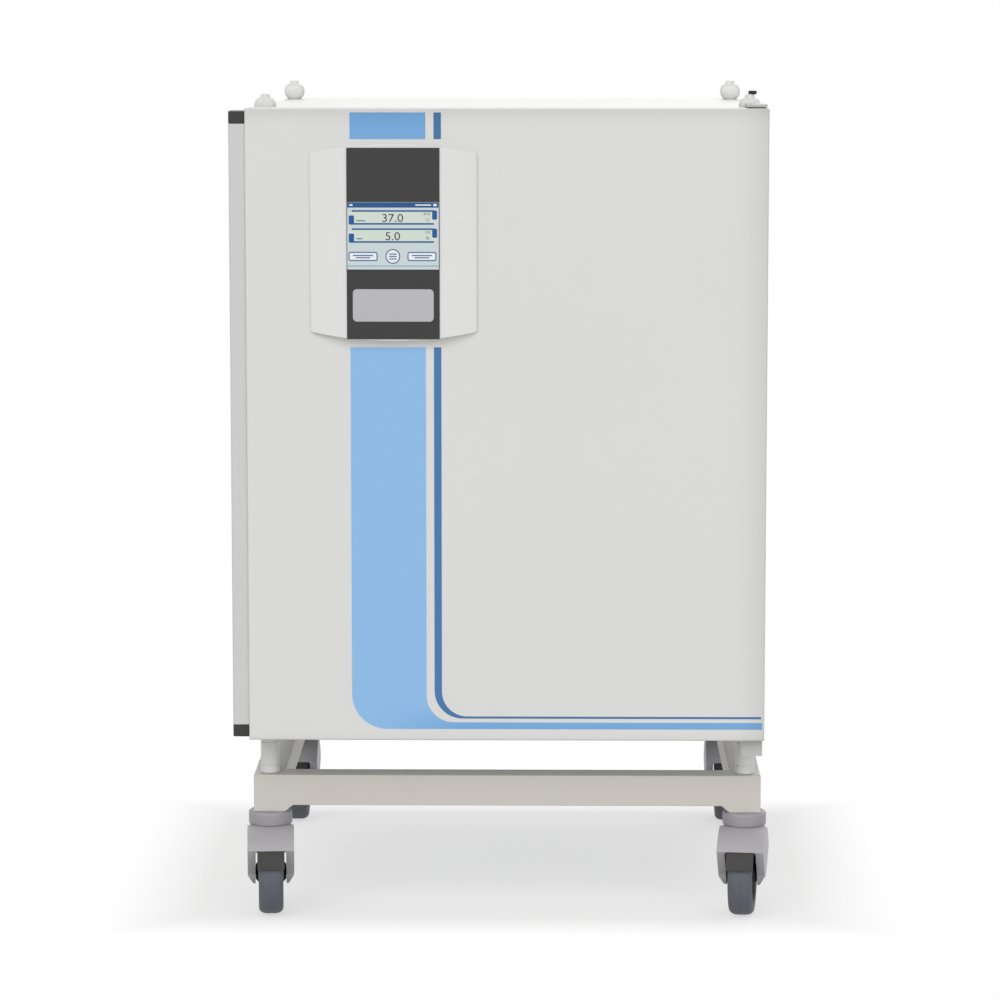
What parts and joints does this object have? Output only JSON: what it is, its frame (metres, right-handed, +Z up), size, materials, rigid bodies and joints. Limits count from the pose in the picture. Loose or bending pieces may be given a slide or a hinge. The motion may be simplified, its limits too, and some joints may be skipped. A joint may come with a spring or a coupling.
{
  "type": "carbon dioxide incubator",
  "caption": "Floor-standing carbon dioxide incubator on a caster base, with a hinged outer door, a glass inner door and a steel chamber with shelves.",
  "frame": {"origin": "centre of the bounding box at floor level, under the casters' wheels", "axes": "+X to the right as seen from the front, +Y from the door towards the rear, +Z up"},
  "size_m": [0.7946, 0.8504, 1.216],
  "materials": {
    "grey_painted_steel": "fine textured powder coat, light grey",
    "base_paint": "powder coat, pale grey",
    "zinc_pan": "powder coat",
    "caster_cap_plastic": "moulded grey nylon",
    "caster_grey": "moulded grey nylon",
    "axle_steel": "turned steel",
    "tyre": "dark slate thermoplastic rubber",
    "white_plastic": "moulded white plastic",
    "grip_plastic": "satin light grey profile",
    "bezel_plastic": "smooth white",
    "dark_plastic": "dark grey",
    "foam": "light fibre and foam insulation",
    "chamber_steel": "polished stainless steel",
    "gasket_rubber": "soft pale grey silicone",
    "port_rubber": "white silicone",
    "hinge_metal": "cast bracket, pale grey",
    "bright_metal": "stainless steel",
    "screen": "touch screen",
    "plate_silver": "satin silver, blank",
    "glass": "clear tempered glass",
    "pull_plastic": "dark grey handle",
    "fan_plastic": "white moulded fan wheel",
    "motor_metal": "cast housing",
    "sensor_plastic": "white sintered cap",
    "board": "green circuit board",
    "panel_metal": "satin plate",
    "brass": "turned brass"
  },
  "bodies": {
    "cabinet": {"base_cross_beams": "base_paint", "base_side_rails": "base_paint", "caster_heads": "caster_cap_plastic", "cabinet_wrap": "grey_painted_steel", "back_panel": "grey_painted_steel", "base_pan": "zinc_pan", "front_frame": "white_plastic", "insulation_boards": "foam", "chamber_liner": "chamber_steel", "chamber_gasket": "gasket_rubber", "hinge_brackets": "hinge_metal", "glass_hinge_brackets": "bright_metal", "stacking_mounts": "white_plastic", "rack_uprights": "chamber_steel", "shelf_rails": "chamber_steel", "humidity_pan": "chamber_steel", "shelf_1": "chamber_steel", "shelf_2": "chamber_steel", "shelf_3": "chamber_steel", "fan_cover": "chamber_steel", "fan_motor": "motor_metal", "sensor_head": "sensor_plastic", "control_board": "board", "supply_panel": "panel_metal", "mains_inlet": "dark_plastic", "signal_sockets": "dark_plastic", "gas_nipple": "brass", "cabinet_screws": "bright_metal"},
    "outer_door": {"door_skin": "grey_painted_steel", "door_liner": "white_plastic", "door_insulation": "foam", "door_gasket": "gasket_rubber", "grip_strip": "grip_plastic", "grip_caps": "dark_plastic", "control_bezel": "bezel_plastic", "control_overlay": "dark_plastic", "display_screen": "screen", "nameplate": "plate_silver"},
    "glass_door": {"glass_pane": "glass", "glass_clamps": "bright_metal", "glass_pull": "pull_plastic"},
    "circulation_fan": {"fan_impeller": "fan_plastic"},
    "power_switch": {"power_rocker": "dark_plastic"},
    "access_port_plug": {"port_plug": "port_rubber"},
    "foot_1": {"levelling_foot_1": "white_plastic"},
    "caster_1": {"caster_fork_1": "caster_grey", "caster_axle_1": "axle_steel"},
    "wheel_1": {"caster_wheel_1": "tyre"},
    "foot_2": {"levelling_foot_2": "white_plastic"},
    "caster_2": {"caster_fork_2": "caster_grey", "caster_axle_2": "axle_steel"},
    "wheel_2": {"caster_wheel_2": "tyre"},
    "foot_3": {"levelling_foot_3": "white_plastic"},
    "caster_3": {"caster_fork_3": "caster_grey", "caster_axle_3": "axle_steel"},
    "wheel_3": {"caster_wheel_3": "tyre"},
    "foot_4": {"levelling_foot_4": "white_plastic"},
    "caster_4": {"caster_fork_4": "caster_grey", "caster_axle_4": "axle_steel"},
    "wheel_4": {"caster_wheel_4": "tyre"}
  },
  "joints": [
    {"name": "outer_door_hinge", "type": "hinge", "parent": "cabinet", "child": "outer_door", "pos_m": [0.37375, -0.37375, 0.274], "axis": [0, 0, 1], "range_deg": [0, 110]},
    {"name": "glass_door_hinge", "type": "hinge", "parent": "cabinet", "child": "glass_door", "pos_m": [0.32975, -0.34675, 0.721], "axis": [0, 0, 1], "range_deg": [0, 100]},
    {"name": "fan_spin", "type": "hinge", "parent": "cabinet", "child": "circulation_fan", "pos_m": [0.00775, 0.23925, 0.966], "axis": [0, 1, 0], "continuous": true},
    {"name": "power_rocker_tilt", "type": "hinge", "parent": "cabinet", "child": "power_switch", "pos_m": [-0.24125, 0.39425, 1.071], "axis": [1, 0, 0], "range_deg": [0, 12]},
    {"name": "port_plug_pull", "type": "slide", "parent": "cabinet", "child": "access_port_plug", "axis": [0, 1, 0], "range_m": [0, 0.08]},
    {"name": "foot_1_turn", "type": "hinge", "parent": "cabinet", "child": "foot_1", "pos_m": [-0.34625, -0.31625, 0.276], "axis": [0, 0, 1], "continuous": true},
    {"name": "caster_1_swivel", "type": "hinge", "parent": "cabinet", "child": "caster_1", "pos_m": [-0.34625, -0.31625, 0.1315], "axis": [0, 0, 1], "continuous": true},
    {"name": "wheel_1_roll", "type": "hinge", "parent": "caster_1", "child": "wheel_1", "pos_m": [-0.34437, -0.34318, 0.0625], "axis": [0.9976, 0.0698, 0], "continuous": true},
    {"name": "foot_2_turn", "type": "hinge", "parent": "cabinet", "child": "foot_2", "pos_m": [0.36175, -0.31625, 0.276], "axis": [0, 0, 1], "continuous": true},
    {"name": "caster_2_swivel", "type": "hinge", "parent": "cabinet", "child": "caster_2", "pos_m": [0.36175, -0.31625, 0.1315], "axis": [0, 0, 1], "continuous": true},
    {"name": "wheel_2_roll", "type": "hinge", "parent": "caster_2", "child": "wheel_2", "pos_m": [0.35846, -0.34305, 0.0625], "axis": [0.9925, -0.1219, 0], "continuous": true},
    {"name": "foot_3_turn", "type": "hinge", "parent": "cabinet", "child": "foot_3", "pos_m": [-0.34625, 0.35875, 0.276], "axis": [0, 0, 1], "continuous": true},
    {"name": "caster_3_swivel", "type": "hinge", "parent": "cabinet", "child": "caster_3", "pos_m": [-0.34625, 0.35875, 0.1315], "axis": [0, 0, 1], "continuous": true},
    {"name": "wheel_3_roll", "type": "hinge", "parent": "caster_3", "child": "wheel_3", "pos_m": [-0.34625, 0.33175, 0.0625], "axis": [1, 0, 0], "continuous": true},
    {"name": "foot_4_turn", "type": "hinge", "parent": "cabinet", "child": "foot_4", "pos_m": [0.36175, 0.35875, 0.276], "axis": [0, 0, 1], "continuous": true},
    {"name": "caster_4_swivel", "type": "hinge", "parent": "cabinet", "child": "caster_4", "pos_m": [0.36175, 0.35875, 0.1315], "axis": [0, 0, 1], "continuous": true},
    {"name": "wheel_4_roll", "type": "hinge", "parent": "caster_4", "child": "wheel_4", "pos_m": [0.36175, 0.33175, 0.0625], "axis": [1, 0, 0], "continuous": true}
  ],
  "couplings": [
    {"joint": "glass_door_hinge", "follows": "outer_door_hinge", "ratio": 0.85}
  ]
}
